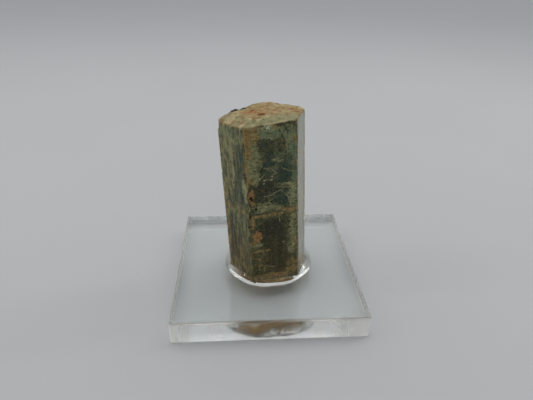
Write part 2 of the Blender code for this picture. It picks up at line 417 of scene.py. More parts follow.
def crystal_grid():
    """Loops of the bare prism in its own upright frame, and what part each row belongs to:
    the foot's underside from its middle outwards, the sides upwards, the top inwards."""
    loop = prism_outline(COLUMNS)
    reach = np.hypot(*loop.T)
    foot = loop @ LEAN
    out = np.linspace(FOOT_START, 1, FOOT_ROWS, endpoint=False)[:, None]
    underside = np.dstack([out * loop[:, 0], out * loop[:, 1], out * foot])
    up = np.linspace(0, 1, SIDE_ROWS)[:, None]
    levels = foot + (top_level(loop, 0) - foot) * up
    sides = np.dstack([*np.tile(loop.T[:, None], (1, SIDE_ROWS, 1)), levels])
    inwards = np.linspace(0, 1, CAP_ROWS + 1)[1:, None] ** CAP_POWER * CAP_END
    spots = (1 - inwards)[..., None] * loop
    top = np.dstack([spots, top_level(spots, inwards * reach)])
    grid = np.concatenate([underside, sides, top])
    turn = np.arctan2(grid[..., 1], grid[..., 0])
    off_corner = np.abs((turn - WORN_CORNER + np.pi) % (2 * np.pi) - np.pi)
    wear = CORNER_WEAR * step(off_corner, *WEAR_ANGLES) * step(grid[..., 2], *WEAR_HEIGHTS)
    grid[..., :2] *= 1 - wear[..., None]
    return grid, np.repeat([0, 1, 2], [FOOT_ROWS, SIDE_ROWS, CAP_ROWS])


def outward(rings):
    """The unit normal at each grid point: the loop's direction crossed with the row's."""
    around = np.roll(rings, -1, axis=1) - np.roll(rings, 1, axis=1)
    normal = np.cross(around, np.gradient(rings, axis=0))
    return normal / np.linalg.norm(normal, axis=-1, keepdims=True)


def patches(across, along, spots, warp):
    """How much of a set of soft-edged ovals covers each point. A spot is its centre, its half
    width and half height, and its strength; warp shifts the points so that no oval is tidy."""
    cover = np.zeros(across.shape)
    for centre_across, centre_along, half_across, half_along, strength in spots:
        gap = (across - centre_across + GIRTH / 2) % GIRTH - GIRTH / 2
        far = np.hypot(gap / half_across + warp[0], (along - centre_along) / half_along + warp[1])
        cover = np.maximum(cover, strength * step(far, 1.25, 0.55))
    return cover


def near_lines(across, along, lines):
    """Distance in millimetres from each point to the nearest of a set of broken lines: for
    each stretch, the point's share along it is held to 0..1 and the gap to that spot taken."""
    nearest = np.full(across.shape, 99.0)
    for line in lines:
        for (start_across, start_along), (end_across, end_along) in zip(line[:-1], line[1:]):
            run, rise = end_across - start_across, end_along - start_along
            offset, lift = across - start_across, along - start_along
            share = np.clip((offset * run + lift * rise) / (run * run + rise * rise), 0, 1)
            nearest = np.minimum(nearest, np.hypot(offset - share * run, lift - share * rise))
    return nearest


# Marks on the sides, as (girth, height, half width, half height, strength). Pale cloudy veils:
VEILS = [
    (-7.2, 40.3, 2.6, 2.4, 0.95), (10.9, 40.5, 1.6, 2.6, 0.8), (11.4, 20.2, 1, 2.6, 0.85),
    (1.6, 30.8, 1.6, 2.6, 0.9), (5.4, 41.4, 3, 1.7, 0.8), (8.8, 41.4, 1.4, 1.4, 0.6),
    (1.6, 40.5, 1.6, 3, 0.9), (-7, 35.5, 3.6, 8.5, 0.75), (-8.6, 24, 2.2, 8, 0.6),
    (-3.5, 40.8, 4.2, 2.2, 0.8), (-5.2, 33, 1.2, 6, 0.9), (-5, 12, 5.5, 9, 0.6),
    (-1.2, 17.5, 1.6, 4, 0.6), (-2.2, 9, 2.2, 6, 0.55), (-0.8, 27, 0.9, 4.5, 0.8),
    (-8.8, 14, 1.6, 8, 0.55), (1.9, 35, 1.9, 5.6, 0.8), (5.6, 42.4, 2.8, 1.3, 0.7),
    (2, 31.2, 1.4, 2.2, 0.7), (10.9, 14.5, 1.4, 5.5, 0.45), (3.6, 22.2, 3, 1.2, 0.6),
    (7.6, 21.9, 2.6, 1, 0.5), (11.2, 24.6, 1.2, 2.8, 0.6), (1.8, 11.3, 1.8, 0.7, 0.8),
    (11.4, 8.8, 1, 2.2, 0.6), (9.5, 28, 2.6, 1.1, 0.5), (16.5, 22, 4.4, 23, 0.8),
    (23.5, 34, 2.2, 8, 0.7), (28.5, 22, 3.2, 5, 0.6), (25, 9, 3.6, 5, 0.7), (31, 38, 2.2, 5, 0.6),
    (36, 25, 2.4, 9, 0.7), (41, 36, 2.6, 6, 0.6), (38.5, 8, 4, 4, 0.6), (45.5, 18, 1.8, 10, 0.7),
    (50, 32, 2.4, 8, 0.7), (48.5, 6, 3.4, 4, 0.6),
]
# Clear dark places, where the eye sees into the crystal:
DEPTHS = [
    (5.2, 31.8, 2, 3, 1), (8.4, 27, 2.6, 1.6, 0.9), (8.8, 30.6, 2.2, 2.8, 0.9),
    (-7.2, 9.5, 2.6, 5, 0.9), (-7, 15, 2.2, 4, 0.7), (6.4, 12, 3.2, 6, 0.95), (-3, 24.6, 2, 2.8, 0.9),
    (-2.6, 34, 2.2, 5, 0.6), (3.4, 25.4, 1.8, 1.8, 0.8), (8.6, 38.6, 1.4, 2.6, 0.55),
    (6.6, 5.2, 3.4, 2.6, 0.8), (8.6, 23.6, 2, 1.6, 1), (6.6, 38, 2.6, 2.2, 0.4),
    (9.2, 40.2, 0.7, 1.5, 0.6), (4.2, 27.8, 2.4, 1.4, 1), (6, 16, 3.6, 3.2, 1), (7, 7.8, 3, 4.2, 1),
    (4.6, 12.2, 2, 1.8, 1), (5.2, 33.8, 1.2, 1, 0.9), (-6.4, 7.4, 1.4, 2.4, 0.8),
    (-5.2, 9, 4.4, 7, 0.65), (6, 30.2, 1.8, 1.8, 0.9), (-7.4, 11.5, 1.2, 2, 0.6),
    (-2.2, 25.5, 0.9, 2.4, 0.6), (26.5, 28, 2, 5, 0.7), (30, 12, 1.6, 5, 0.8), (34.8, 34, 1.2, 5, 0.6),
    (39.5, 20, 2.2, 6, 0.8), (42, 10, 1, 4, 0.6), (47.5, 26, 1.8, 6, 0.8), (51.5, 15, 1.4, 5, 0.6),
]
# Blue-green colour, strongest where the crystal is clearest:
BLUES = [
    (9.2, 30.8, 2.4, 2.6, 1), (8.8, 24.6, 2.2, 2.4, 1), (8.6, 35.4, 2.2, 1.8, 0.8),
    (5.4, 33, 1.6, 2.6, 0.8), (5.6, 34.2, 1.8, 1.5, 0.9), (5.6, 31.8, 1.4, 1.4, 0.9),
    (9.6, 33, 2.2, 3.4, 0.8), (10, 30.4, 1.8, 1.8, 0.9), (8.6, 24.4, 2.1, 2.2, 1),
    (7, 36.2, 2.4, 1.2, 0.5), (-2.2, 36.5, 1.7, 4.6, 0.75), (-2.6, 29.5, 1.5, 4.6, 0.75),
    (-3.6, 25, 1.8, 3, 0.65), (25, 21, 2.6, 5, 0.9), (29, 33, 2.2, 5, 0.8), (37, 32, 2.8, 6, 0.9),
    (40, 27, 1.4, 4, 0.6), (36, 13, 2.2, 4, 0.7), (46.5, 34, 1.8, 5, 0.8), (49.5, 22, 2.2, 6, 0.8),
    (45.5, 8, 1.6, 4, 0.6),
]
# Milky green:
JADES = [
    (5.6, 41.2, 2.4, 1.4, 0.7), (11.2, 25.5, 1.4, 2.6, 0.8), (11.8, 30, 0.7, 3, 0.8),
    (11.6, 21.9, 0.8, 1.2, 0.7), (11.2, 41, 1.5, 2.4, 0.6), (11.4, 35.2, 1.2, 4.2, 0.8),
    (8.6, 40.8, 2.6, 1.2, 0.75), (11.4, 30.5, 0.8, 2, 0.6), (10.3, 41.2, 2.2, 2.4, 0.5),
    (11.4, 32.8, 0.6, 3.8, 0.9), (10.9, 26.6, 1.6, 1.6, 0.6), (11, 12.6, 1.2, 3.4, 0.55),
    (6.8, 40.9, 2.6, 1, 0.5), (-6.2, 41.3, 2.5, 1.5, 0.5), (7.6, 29.4, 3.4, 1.2, 0.4),
    (27.5, 40, 3.4, 2, 0.6), (31.6, 26, 0.7, 6, 0.8), (22.5, 16, 1.4, 5, 0.6), (35, 18, 1.4, 3, 0.6),
    (42.4, 20, 0.7, 5, 0.8), (44.6, 29, 1, 5, 0.6), (51, 38, 2, 3, 0.6),
]
# Tan iron stain, on the edges, along the cracks and round the foot:
TANS = [
    (-9.4, 32, 2.4, 12, 0.3), (-9.2, 10, 1.8, 9, 0.4), (-6, 2.6, 5, 3, 0.5), (-3, 9, 2.6, 4, 0.4),
    (-8, 24, 2.4, 4, 0.25), (0.2, 31.5, 0.4, 3.5, 0.7), (1.5, 41.4, 2, 2.6, 1),
    (1, 37.8, 1.2, 2.4, 0.8), (-9.6, 33, 0.6, 10, 0.5), (-9.3, 21.5, 1, 6, 0.45),
    (-9.8, 8, 0.6, 8, 0.7), (-7.8, 20.8, 2, 1.6, 0.6), (-2, 20.6, 2.2, 0.8, 0.55),
    (3.4, 19.9, 3.2, 0.55, 0.85), (7, 20.1, 2.4, 0.5, 0.8), (10.6, 20.9, 2, 0.8, 1),
    (12.2, 21.2, 0.8, 0.9, 0.9), (0.9, 18, 0.7, 2.2, 0.9), (1, 29.8, 0.9, 1, 0.9),
    (2.7, 9.5, 2.6, 0.5, 0.8), (5.4, 0.9, 5.8, 1.3, 1), (10.6, 2.8, 1.9, 3, 0.8),
    (2.2, 4.8, 0.7, 2, 0.5), (11.8, 11, 0.5, 1.6, 0.8), (11.9, 39.4, 0.6, 1.5, 0.7),
    (-5, 0.5, 5, 0.8, 0.8), (18.6, 25, 0.45, 11, 0.8), (19.6, 22, 1.1, 20, 0.8),
    (14, 2.4, 2, 2.4, 0.55), (17.3, 14, 0.5, 5, 0.4), (20.8, 30, 0.7, 10, 0.8), (20.6, 8, 0.8, 6, 0.7),
    (32.6, 30, 0.6, 11, 0.9), (33, 9, 0.8, 6, 0.8), (34, 41, 2.4, 1.6, 0.8), (24.5, 41.5, 3, 1.2, 0.7),
    (27, 1.2, 5.5, 1.4, 0.9), (30.5, 3.4, 2, 2.6, 0.8), (38, 1, 5, 1.6, 0.9), (43.3, 14, 0.6, 11, 0.9),
    (43.2, 35, 0.5, 6, 0.8), (45, 3.4, 2.2, 2.8, 0.8), (28, 18.6, 3.4, 0.7, 0.8),
    (38, 22.6, 3, 0.6, 0.8), (48, 19.6, 3, 0.6, 0.8), (49, 0.8, 4, 1, 0.8),
]
# Bright rust, the heart of some of those stains:
RUSTS = [
    (0.7, 41.2, 0.3, 1.4, 0.5), (0.9, 25.6, 0.75, 1.7, 1), (1.05, 23.7, 0.45, 0.9, 0.9),
    (1.2, 27, 0.5, 0.8, 0.6), (2, 14.1, 1.35, 1.7, 1), (1.2, 12.7, 0.8, 0.8, 0.8),
    (0.6, 16.6, 0.35, 0.6, 0.6), (4.6, 9.7, 0.6, 0.35, 0.5), (17.5, 2.4, 0.9, 2.2, 0.8),
    (10, 4.6, 0.5, 0.5, 0.5), (7.6, 1.2, 2.2, 0.6, 0.5), (33, 34, 0.3, 2.2, 0.5),
    (32.4, 19.5, 0.7, 1.2, 0.7), (43.4, 10, 0.3, 2.4, 0.5), (44.6, 21, 0.9, 0.9, 0.6),
    (29, 2, 1.6, 0.9, 0.7), (38.5, 1.6, 1.8, 0.8, 0.6),
]
# Nets of fine pale cracks:
WEBS = [
    (7.6, 34.6, 1.6, 0.7, 1), (6.6, 32.6, 2, 1, 0.7), (5.8, 30.6, 2.2, 1.4, 0.4),
    (9.4, 27.9, 2.8, 0.9, 1), (11, 25.4, 1.4, 3, 0.9), (4.2, 23.2, 2.8, 2.2, 0.5),
    (1.8, 34, 1.9, 5, 0.6), (11.2, 14.5, 1.1, 5.5, 0.8), (8.6, 37, 2, 5, 0.45),
    (2, 11.3, 2.2, 0.7, 0.8), (-1, 27, 1, 4.4, 0.8), (-5.4, 34, 1.2, 7, 0.5), (5.6, 42.6, 2.6, 1, 0.8),
    (7.5, 21.9, 2.4, 0.9, 0.8), (10.8, 9.5, 1.2, 2.2, 0.7), (25, 27, 3, 6, 0.8), (30.5, 17, 2, 4, 0.7),
    (38, 29, 3.4, 5, 0.8), (37, 16, 3, 3, 0.7), (48.5, 28, 3, 7, 0.8), (50, 12, 2.4, 4, 0.7),
]
# Solution pits, where strength is depth; they are also painted near black, as painted shade in the hollows:
PITS = [
    (0.75, 25.3, 0.36, 0.34, 0.5), (1, 24.8, 0.3, 0.3, 0.45), (1.95, 22.1, 0.34, 0.34, 0.45),
    (2.7, 21.5, 0.2, 0.2, 0.3), (2.1, 22.8, 0.2, 0.2, 0.3), (2.2, 23.6, 0.18, 0.2, 0.3),
    (4.8, 24.1, 0.2, 0.2, 0.3), (4.9, 22.9, 0.2, 0.2, 0.3), (6, 23.4, 0.2, 0.2, 0.3),
    (0.4, 20.1, 0.26, 0.36, 0.45), (0.5, 16.9, 0.2, 0.25, 0.35), (0.5, 16.2, 0.18, 0.2, 0.3),
    (3.6, 9.3, 0.22, 0.2, 0.3), (33.4, 26, 0.4, 0.5, 0.5), (33, 18, 0.3, 0.3, 0.45),
    (44, 33, 0.4, 0.3, 0.5), (47, 8, 0.3, 0.4, 0.45), (28, 31, 0.3, 0.3, 0.35),
    (41, 36, 0.35, 0.5, 0.4),
]
PALE_DOTS = [
    (4.4, 29.7, 0.3, 0.22, 1), (4.2, 28.9, 0.22, 0.2, 1), (6.1, 29.6, 0.26, 0.2, 1),
    (6.3, 30.6, 0.24, 0.22, 1), (3.1, 30.3, 0.22, 0.22, 1), (8.6, 11.45, 0.3, 0.2, 0.9),
    (11.3, 10.4, 0.22, 0.26, 1), (6.3, 43.15, 0.3, 0.24, 1), (5.9, 42.8, 0.2, 0.2, 1),
    (-4.6, 42.7, 0.4, 0.24, 0.8), (-1.2, 42.8, 0.5, 0.24, 0.8), (2.4, 43.6, 0.4, 0.24, 0.7),
]
# Painted glints: near-white spots just under the front rim, which paint small highlights.
GLINTS = [
    (5.5, 42.7, 0.24, 0.24, 1), (5.95, 42.45, 0.16, 0.22, 0.7), (5.9, 43.15, 0.24, 0.2, 0.5),
    (5, 43.2, 0.2, 0.16, 0.4),
]
# Open cracks, as the (girth, height) of their bends.
CRACKS = [
    [(8.5, 42.7), (9.5, 40.4), (10, 39), (10.1, 36.6)], [(7.5, 27.7), (8.9, 27.4), (10.4, 27.2)],
    [(3.8, 25.6), (5, 25.4), (6.3, 25.7), (7.2, 26.3), (8.4, 26.8), (9.9, 24.9), (10.4, 23.8), (10.7, 22.3)],
    [(10.9, 25.6), (11.5, 24.8)],
    [(-1.9, 29.6), (-0.9, 28.5), (0, 27.7), (-1.1, 25.6), (-0.3, 24.2), (0.4, 21.9)],
    [(-6, 29.4), (-5.8, 28), (-6.2, 25.8)], [(11.1, 18), (10.6, 16.4), (11.3, 14.8)],
    [(3.9, 40.3), (4.9, 40.8), (6.1, 40.4), (6.6, 39.7)], [(6.1, 34.9), (8, 34.7)],
    [(3.4, 4.7), (6.2, 3.8)], [(3.2, 4), (3.3, 2.7)], [(11.1, 10.8), (11.4, 10)],
    [(2.5, 29.1), (3.4, 30.5), (4.5, 31.3)], [(4.4, 33), (6.2, 32.5), (7.3, 31.5)],
    [(6, 31.1), (7.2, 31.3)], [(4, 30), (5.2, 29.7), (6.4, 30)], [(7.9, 17.8), (7.6, 19.6)],
    [(8.6, 32.6), (10, 31.8), (12, 31.2)], [(-3.1, 12.8), (-2.6, 10.6)], [(-0.6, 16.6), (-1.4, 12.7)],
    [(1.3, 21.3), (3, 20.9), (3.3, 22.1)], [(0, 22.6), (0.2, 21.5)],
    [(24, 36), (25.2, 33), (24.8, 30.2), (26.4, 27.5)], [(28, 14), (30.4, 15.2), (32.4, 14.6)],
    [(35, 28), (37.2, 26.4), (39.6, 26.9), (41, 24)], [(46, 30), (48, 31.2), (50.6, 29.4)],
    [(49, 17), (48.2, 13.5)],
]
# On the top, as (x, y, half width, half depth, strength) in the crystal's frame.
TOP_RUSTS = [
    (-1.4, -2.6, 3.4, 2.2, 0.65), (3, -2, 2.4, 1.6, 0.4), (-0.6, 0.6, 2.6, 1.6, 0.45),
    (1.2, 2.4, 1.6, 1.8, 0.4), (-2.3, -1.9, 1.6, 1.4, 0.75), (0.1, -3.6, 1.8, 0.9, 0.65),
    (7.8, -1.3, 1, 1.2, 0.7), (8.6, -3.7, 1.3, 0.7, 0.75), (1.9, 0.2, 1.1, 1.3, 0.5),
    (2.4, 3.8, 0.9, 0.9, 0.6), (-2, -6.4, 1.1, 0.9, 0.5), (-6.6, -5.6, 0.5, 0.8, 0.6),
    (-4.4, -7.4, 0.8, 0.8, 0.6), (-9.2, -3.4, 0.6, 0.8, 0.6), (5.4, 5.5, 1.2, 1, 0.5),
    (-1, 6, 1.4, 0.8, 0.6),
]
# Cream-coloured places, on the top and on the worn rim.
TOP_CREAMS = [
    (-6.8, 0.5, 2.2, 2.2, 0.8), (9.8, -0.8, 1, 1, 0.8), (-2.7, -6.8, 0.6, 0.6, 1),
    (-4.8, -8.6, 0.8, 0.6, 0.9), (-8.2, -4.6, 1.9, 1.5, 0.8), (-6.4, -3.4, 1.6, 1.2, 0.5),
    (-0.8, -7.4, 0.9, 0.5, 0.7), (4.8, 2.2, 2.4, 1.4, 0.4), (1.2, -6.6, 1.2, 0.6, 0.5),
]
TOP_PITS = [
    (0.07, -4.3, 0.95, 0.75, 0.75), (-2, -1.2, 0.4, 0.35, 0.3), (-2.9, -2.4, 0.35, 0.3, 0.3),
    (-1.3, -2.6, 0.3, 0.3, 0.25), (8.4, -3.7, 0.5, 0.3, 0.25), (7.5, -1.2, 0.4, 0.4, 0.3),
]
# The dip at the back of the rim that the black mineral sits in, and how deep it is.
HOLLOW, HOLLOW_DEPTH = [(-4.95, 6.6, 2.1, 2.4, 1)], 0.5

bare, part = crystal_grid()
is_foot, is_side, is_cap = ((part == kind)[:, None] * np.ones((1, COLUMNS)) for kind in range(3))
around = girth(bare)
height = bare[..., 2]
normal = outward(bare)
turn = np.arctan2(bare[..., 1], bare[..., 0])
from_rim = (outline_reach(turn) - np.hypot(bare[..., 0], bare[..., 1])) * is_cap
rim_below = top_level(bare[FOOT_ROWS], 0) - height
warp = [0.35 * grain(bare, 1.6, 11 + k) + 0.3 * grain(bare, 0.5, 21 + k) for k in range(2)]

# The crust spills further down the outer part of the left face and most of the front.
spill = 1 + 2.6 * step(around, -5.6, -8.2) * step(around, -10.4, -9.9)
spill = spill + 1.3 * step(around, 1, 2) * step(around, 9, 7.5)
crust = step(rim_below / spill + 0.3 * grain(bare, 0.9, 31) + 0.14 * grain(bare, 0.3, 35), 0.4, 0.0)
crust = np.maximum(is_cap, crust) * (1 - is_foot)
side_marks = {
    "veil": VEILS, "dark": DEPTHS, "blue": BLUES, "jade": JADES, "tan": TANS, "rust": RUSTS, "web": WEBS
}
marks = {name: patches(around, height, spots, warp) * is_side for name, spots in side_marks.items()}
half_warp = [0.5 * shift for shift in warp]
pit = patches(around, height, PITS, half_warp) * is_side
dots = patches(around, height, PALE_DOTS, half_warp) * (1 - is_foot)
shaken = [0.16 * grain(bare, 0.8, 91 + k) for k in range(2)]
lines = near_lines(around + shaken[0], height + shaken[1], CRACKS)
plan = (bare[..., 0], bare[..., 1])
top_rust = patches(*plan, TOP_RUSTS, warp) * is_cap
top_cream = patches(*plan, TOP_CREAMS, warp) * is_cap
top_pit = patches(*plan, TOP_PITS, half_warp) * is_cap
hollow = step(patches(*plan, HOLLOW, (0, 0)), 0, 1) * (is_cap + is_side * step(rim_below, 2.5, 0.2))
slope_share = step(from_rim - rim_value(bare, 2) + 0.6 * grain(bare, 1.2, 95), 0.5, -0.6) * is_cap
# The slope inside the rim is green at the front, more so on its right, and a little at the left.
facing = np.degrees(turn)
front_slope = step(facing, -176, -166) * step(facing, -22, -36)
front_slope = front_slope * (0.6 + 0.4 * step(facing, -120, -104))
left_slope = 0.3 * step(np.abs(facing), 150, 165)
edge_gap = np.min(np.abs((around[..., None] - FACE_STARTS + GIRTH / 2) % GIRTH - GIRTH / 2), axis=-1)
near_rim = np.maximum(step(from_rim, 0.5, 0.1) * is_cap, step(rim_below, 0.3, 0.05) * is_side)
off_front_edge = np.abs(around - 0.12 + 0.1 * grain(bare, 0.8, 99))
marks |= {
    "crust": crust, "foot": is_foot, "cream": top_cream,
    "pit": np.clip(pit / 0.3, 0, 1), "top_pit": np.clip(top_pit / 0.5, 0, 1),
    "pale": np.maximum(dots, 0.62 * step(lines, 0.2, 0.03) * is_side),
    "glint": patches(around, height, GLINTS, half_warp) * (1 - is_foot),
    "chips": step(edge_gap + 0.5 * grain(bare, (2, 2, 1.1), 97), 0.16, -0.1) * is_side,
    "green": slope_share * np.maximum(0.9 * front_slope, left_slope),
    "lip": near_rim * step(around, 4.0, 5.0) * step(around, 12.6, 11.8),
    "hem": 0.8 * step(off_front_edge, 0.34, 0.1) * step(height, 25, 28) * is_side,
    "warm": step(height, 24, 3) * is_side,
    # The right face's glossy strip: it is made smoother, and its pale grey colour is painted reflection of
    # the bright room.
    "gloss_with_painted_reflection": step(around, 12.7, 13.6) * step(around, 20.6, 20.0) * is_side,
    "streaks": np.maximum(0.2, step(around, 0.2, -0.4) * step(around, -10.2, -9.8)) * is_side,
}
marks["rust"] = np.maximum(marks["rust"], top_rust)

# Shape: fine upright grooves and broad swells on the sides, nibbled edges, pits, a lumpy
# crust on the top and a rough break underneath.
nibble = np.clip(grain(bare, (3.0, 3.0, 0.9), 41) - 0.12, 0, None) * step(edge_gap, 0.7, 0.0)
upright = 0.03 * grain(bare, (0.5, 0.5, 9.0), 51) + 0.02 * grain(bare, (0.3, 0.3, 3.0), 55)
push = is_side * (upright + 0.05 * grain(bare, 3.0, 61) - 0.7 * nibble - pit)
push = push + is_cap * (0.12 * grain(bare, 1.5, 71) + 0.09 * grain(bare, 0.5, 75) - top_pit)
push = push - is_side * crust * 0.08 * (1 + grain(bare, 0.6, 81)) + is_foot * 0.08 * grain(bare, 0.8, 85)
shaped = bare + normal * push[..., None]
shaped[..., 2] -= HOLLOW_DEPTH * hollow

axis = Vector((*LEAN, 1.0)).normalized()
lean_turn = Vector((0, 0, 1)).rotation_difference(axis)
lean_matrix = np.array(lean_turn.to_matrix())


def stand(points):
    """Carries points from the crystal's own upright frame to where it stands, leaning."""
    return points @ lean_matrix.T + FOOT


foot_pole = stand(np.array([[0.0, 0.0, 0.0]]))
top_pole = stand(np.array([[0.0, 0.0, shaped[-1, :, 2].mean()]]))
crystal = shell("beryl_prism", stand(shaped), foot_pole, top_pole)
for mark, values in marks.items():
    store(crystal, mark, values, (float(mark == "foot"), float(mark == "crust")))

beryl = Finish("stained_beryl", IOR=1.57, Specular_IOR_Level=0.25)
turn_back = lean_turn.to_matrix().inverted().to_euler()


def field(scale, detail, roughness=0.6, distortion=0.0):
    """Noise that stands upright with the crystal."""
    return beryl.noise(beryl.place(scale, turn_back), detail, roughness, distortion)


def thread(strand, half_width):
    """Thin lines where a field of noise passes its middle value."""
    off_middle = beryl.maths("ABSOLUTE", beryl.maths("SUBTRACT", strand, 0.5))
    return beryl.ease(off_middle, half_width, half_width * 0.25)


# On the left face the noises are drawn out upright, by the same mark that gives it its streaks.
streaks = beryl.surface("streaks")
grooves = field((2.2, 2.2, 0.16), 5)
fine_grooves = field((6.0, 6.0, 0.5), 4)
cloud = field((0.35, 0.35, 0.3), 3)
even_mottle, upright_mottle = field((0.8, 0.8, 1.0), 6, 0.6), field((0.8, 0.8, 0.35), 6, 0.58)
mottle = beryl.ease(streaks, 0.2, 1.0, even_mottle, upright_mottle)
even_moss, upright_moss = field((1.8, 1.8, 2.2), 6, 0.62), field((1.5, 1.5, 0.5), 6, 0.55)
moss = beryl.ease(streaks, 0.2, 1.0, even_moss, upright_moss)
specks = field((4.0, 4.0, 4.6), 3, 0.6)
wide_threads = thread(field((0.55, 0.55, 1.25), 3, 0.6, 0.8), 0.04)
close_threads = thread(field((1.0, 1.0, 1.9), 3, 0.6, 1.0), 0.035)
threads = beryl.maths("MAXIMUM", wide_threads, close_threads)

# The stone, from its depths outwards.
dark = beryl.ragged("dark", moss, 2.6, 0.92)
web_share = beryl.times(threads, beryl.ease(beryl.surface("web"), 0.0, 1.0, 0.16, 0.9))
web_share = beryl.times(web_share, beryl.ease(dark, 0.0, 1.0, 1.0, 0.5))
# Painted light and shade on the grooves: lighter on their ridges and darker in their furrows, by the noise of
# their bump.
ridge_highlight_share = beryl.times(streaks, beryl.ease(grooves, 0.5, 0.64, 0.0, 0.5))
furrow_shade_share = beryl.times(streaks, beryl.ease(grooves, 0.46, 0.34, 0.0, 0.65))
gloss_with_painted_reflection = beryl.surface("gloss_with_painted_reflection")
rust_share = beryl.ragged("rust", moss, 1.6, 0.88)
veil_tone = beryl.between(mottle, 0.38, 0.62, (92, 95, 60), (166, 164, 118))
tan_tone = beryl.between(moss, 0.38, 0.64, (120, 100, 52), (176, 150, 94))
body = beryl.coats(
    beryl.between(mottle, 0.4, 0.6, (20, 26, 13), (78, 81, 47)),
    (beryl.ease(cloud, 0.45, 0.62, 0.0, 0.5), paint(48, 70, 48)),
    (beryl.ease(moss, 0.52, 0.64, 0.0, 0.65), paint(118, 114, 68)),
    (beryl.ragged("veil", moss, 3.0, 0.88), veil_tone),
    (beryl.ragged("jade", moss, 3.0, 0.85), beryl.between(moss, 0.38, 0.6, (86, 108, 80), (128, 148, 112))),
    (dark, paint(19, 28, 16)),
    (beryl.ragged("blue", moss, 2.4, 0.85), beryl.between(moss, 0.42, 0.6, (24, 50, 42), (50, 78, 62))),
    (beryl.times(beryl.surface("warm"), 0.55), paint(70, 56, 16)),
    # Painted highlight on the groove ridges, then painted shade in their furrows.
    (ridge_highlight_share, paint(156, 152, 106)),
    (furrow_shade_share, paint(52, 56, 34)),
    (web_share, paint(180, 176, 124)),
    # Painted reflection: the right face's strip is painted pale grey, streaked along the grooves.
    (beryl.times(gloss_with_painted_reflection, 0.8), beryl.between(grooves, 0.4, 0.6, (152, 157, 146), (184, 185, 166))),
    (beryl.ragged("tan", mottle, 2.4, 0.85), tan_tone),
    (rust_share, beryl.between(moss, 0.4, 0.62, (128, 94, 46), (192, 142, 82))),
    (beryl.ragged("chips", specks, 1.6, 0.6), paint(156, 126, 74)),
    (beryl.ragged("hem", moss, 2.0, 0.85), paint(178, 140, 84)),
)
# The crust of the top.
green_tone = beryl.between(mottle, 0.36, 0.62, (132, 133, 101), (164, 161, 122))
crust_tone = beryl.coats(
    beryl.between(mottle, 0.38, 0.62, (144, 122, 80), (184, 164, 118)),
    (beryl.ease(moss, 0.52, 0.66, 0.0, 0.3), paint(200, 186, 140)),
    (beryl.ease(specks, 0.44, 0.32, 0.0, 0.22), paint(116, 92, 56)),
    (beryl.ragged("green", mottle, 1.8, 0.85), green_tone),
    (beryl.ragged("cream", moss, 2.0, 0.8), paint(208, 192, 148)),
    (beryl.times(rust_share, 0.8), paint(170, 110, 62)),
    (beryl.ragged("lip", moss, 3.0, 0.75), paint(208, 196, 150)),
    (beryl.surface("top_pit"), paint(104, 48, 22)),
)
colour = beryl.coats(
    body,
    (beryl.surface("crust"), crust_tone),
    (beryl.ragged("pale", specks, 1.0, 0.85), paint(192, 188, 142)),
    # Painted shade: the pits are painted near black.
    (beryl.surface("pit"), paint(16, 15, 11)),
    (beryl.surface("foot"), beryl.between(moss, 0.4, 0.6, (116, 76, 20), (168, 118, 48))),
    # Painted highlights: the glints under the front rim are painted near white.
    (beryl.surface("glint"), paint(242, 243, 232)),
)
beryl.set("Base Color", colour)
sheen = beryl.ease(mottle, 0.3, 0.7, 0.28, 0.46)
sheen = beryl.ease(gloss_with_painted_reflection, 0.0, 1.0, sheen, 0.16)
sheen = beryl.ease(beryl.surface("crust"), 0.0, 1.0, sheen, 0.8)
beryl.set("Roughness", beryl.ease(beryl.surface("foot"), 0.0, 1.0, sheen, 1.0))
calm = beryl.ease(gloss_with_painted_reflection, 0.0, 1.0, 1.0, 0.3)
grooved = beryl.relief(grooves, 0.08, calm)
grooved = beryl.relief(fine_grooves, 0.03, calm, grooved)
crumb = beryl.ease(beryl.surface("crust"), 0.0, 1.0, 0.4, 0.8)
beryl.set("Normal", beryl.relief(specks, 0.06, beryl.times(calm, crumb), grooved))
beryl.wear(crystal)
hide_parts("aquamarine_crystal")
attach(crystal, "root")

# ---------------------------------------------------------------------------------------
# Black mineral: a broken, wavy blade of small dark crystals that grew on the back left of the
# top's rim, with a few single grains of it on the sunken part of the top beside it.
# ---------------------------------------------------------------------------------------
# The blade's crest, as (x, y, height) in the crystal's frame.
BLADE_CREST = np.array([
    (-7.35, 4.9, 42.6), (-7.05, 6.3, 42.5), (-6.4, 6.9, 42.65), (-5.9, 7, 42.6), (-5.4, 7.05, 42.35),
    (-5, 7.1, 42.4), (-4.6, 7.17, 42.55), (-4.1, 7.25, 42.72), (-3.7, 7.3, 42.8), (-3.3, 7.35, 42.6),
    (-2.9, 7.4, 42.4),
])
BLADE_GRAINS = 34
STRAY_GRAINS = 22
GRAIN_TURNS, GRAIN_ROWS = 10, 6
GRAIN_POWER = 0.45  # squares the grains off
CREST_SINK, STRAY_LIFT = 0.2, 0.02


def top_height(spots):
    """Height of the finished top over the crystal's own foot plane, at points seen from above."""
    cap = shaped[FOOT_ROWS + SIDE_ROWS:].reshape(-1, 3)
    gap = np.hypot(*(cap[None, :, :2] - spots[:, None, :]).transpose(2, 0, 1))
    return cap[gap.argmin(1), 2]


def grain_rings(centre, size, spin):
    """A small blocky crystal: a superellipsoid, whose sines and cosines are raised to a power
    below one so that it squares off, turned about its own axes."""
    turn = np.linspace(0, 2 * np.pi, GRAIN_TURNS, endpoint=False)
    tilt = np.linspace(-np.pi / 2, np.pi / 2, GRAIN_ROWS + 2)[1:-1, None]

    def square(value):
        return np.sign(value) * np.abs(value) ** GRAIN_POWER

    girdle = square(np.cos(tilt))
    upright = square(np.sin(tilt)) * np.ones_like(turn)
    block = np.dstack([girdle * square(np.cos(turn)), girdle * square(np.sin(turn)), upright])
    return (block * size) @ spin.T + centre


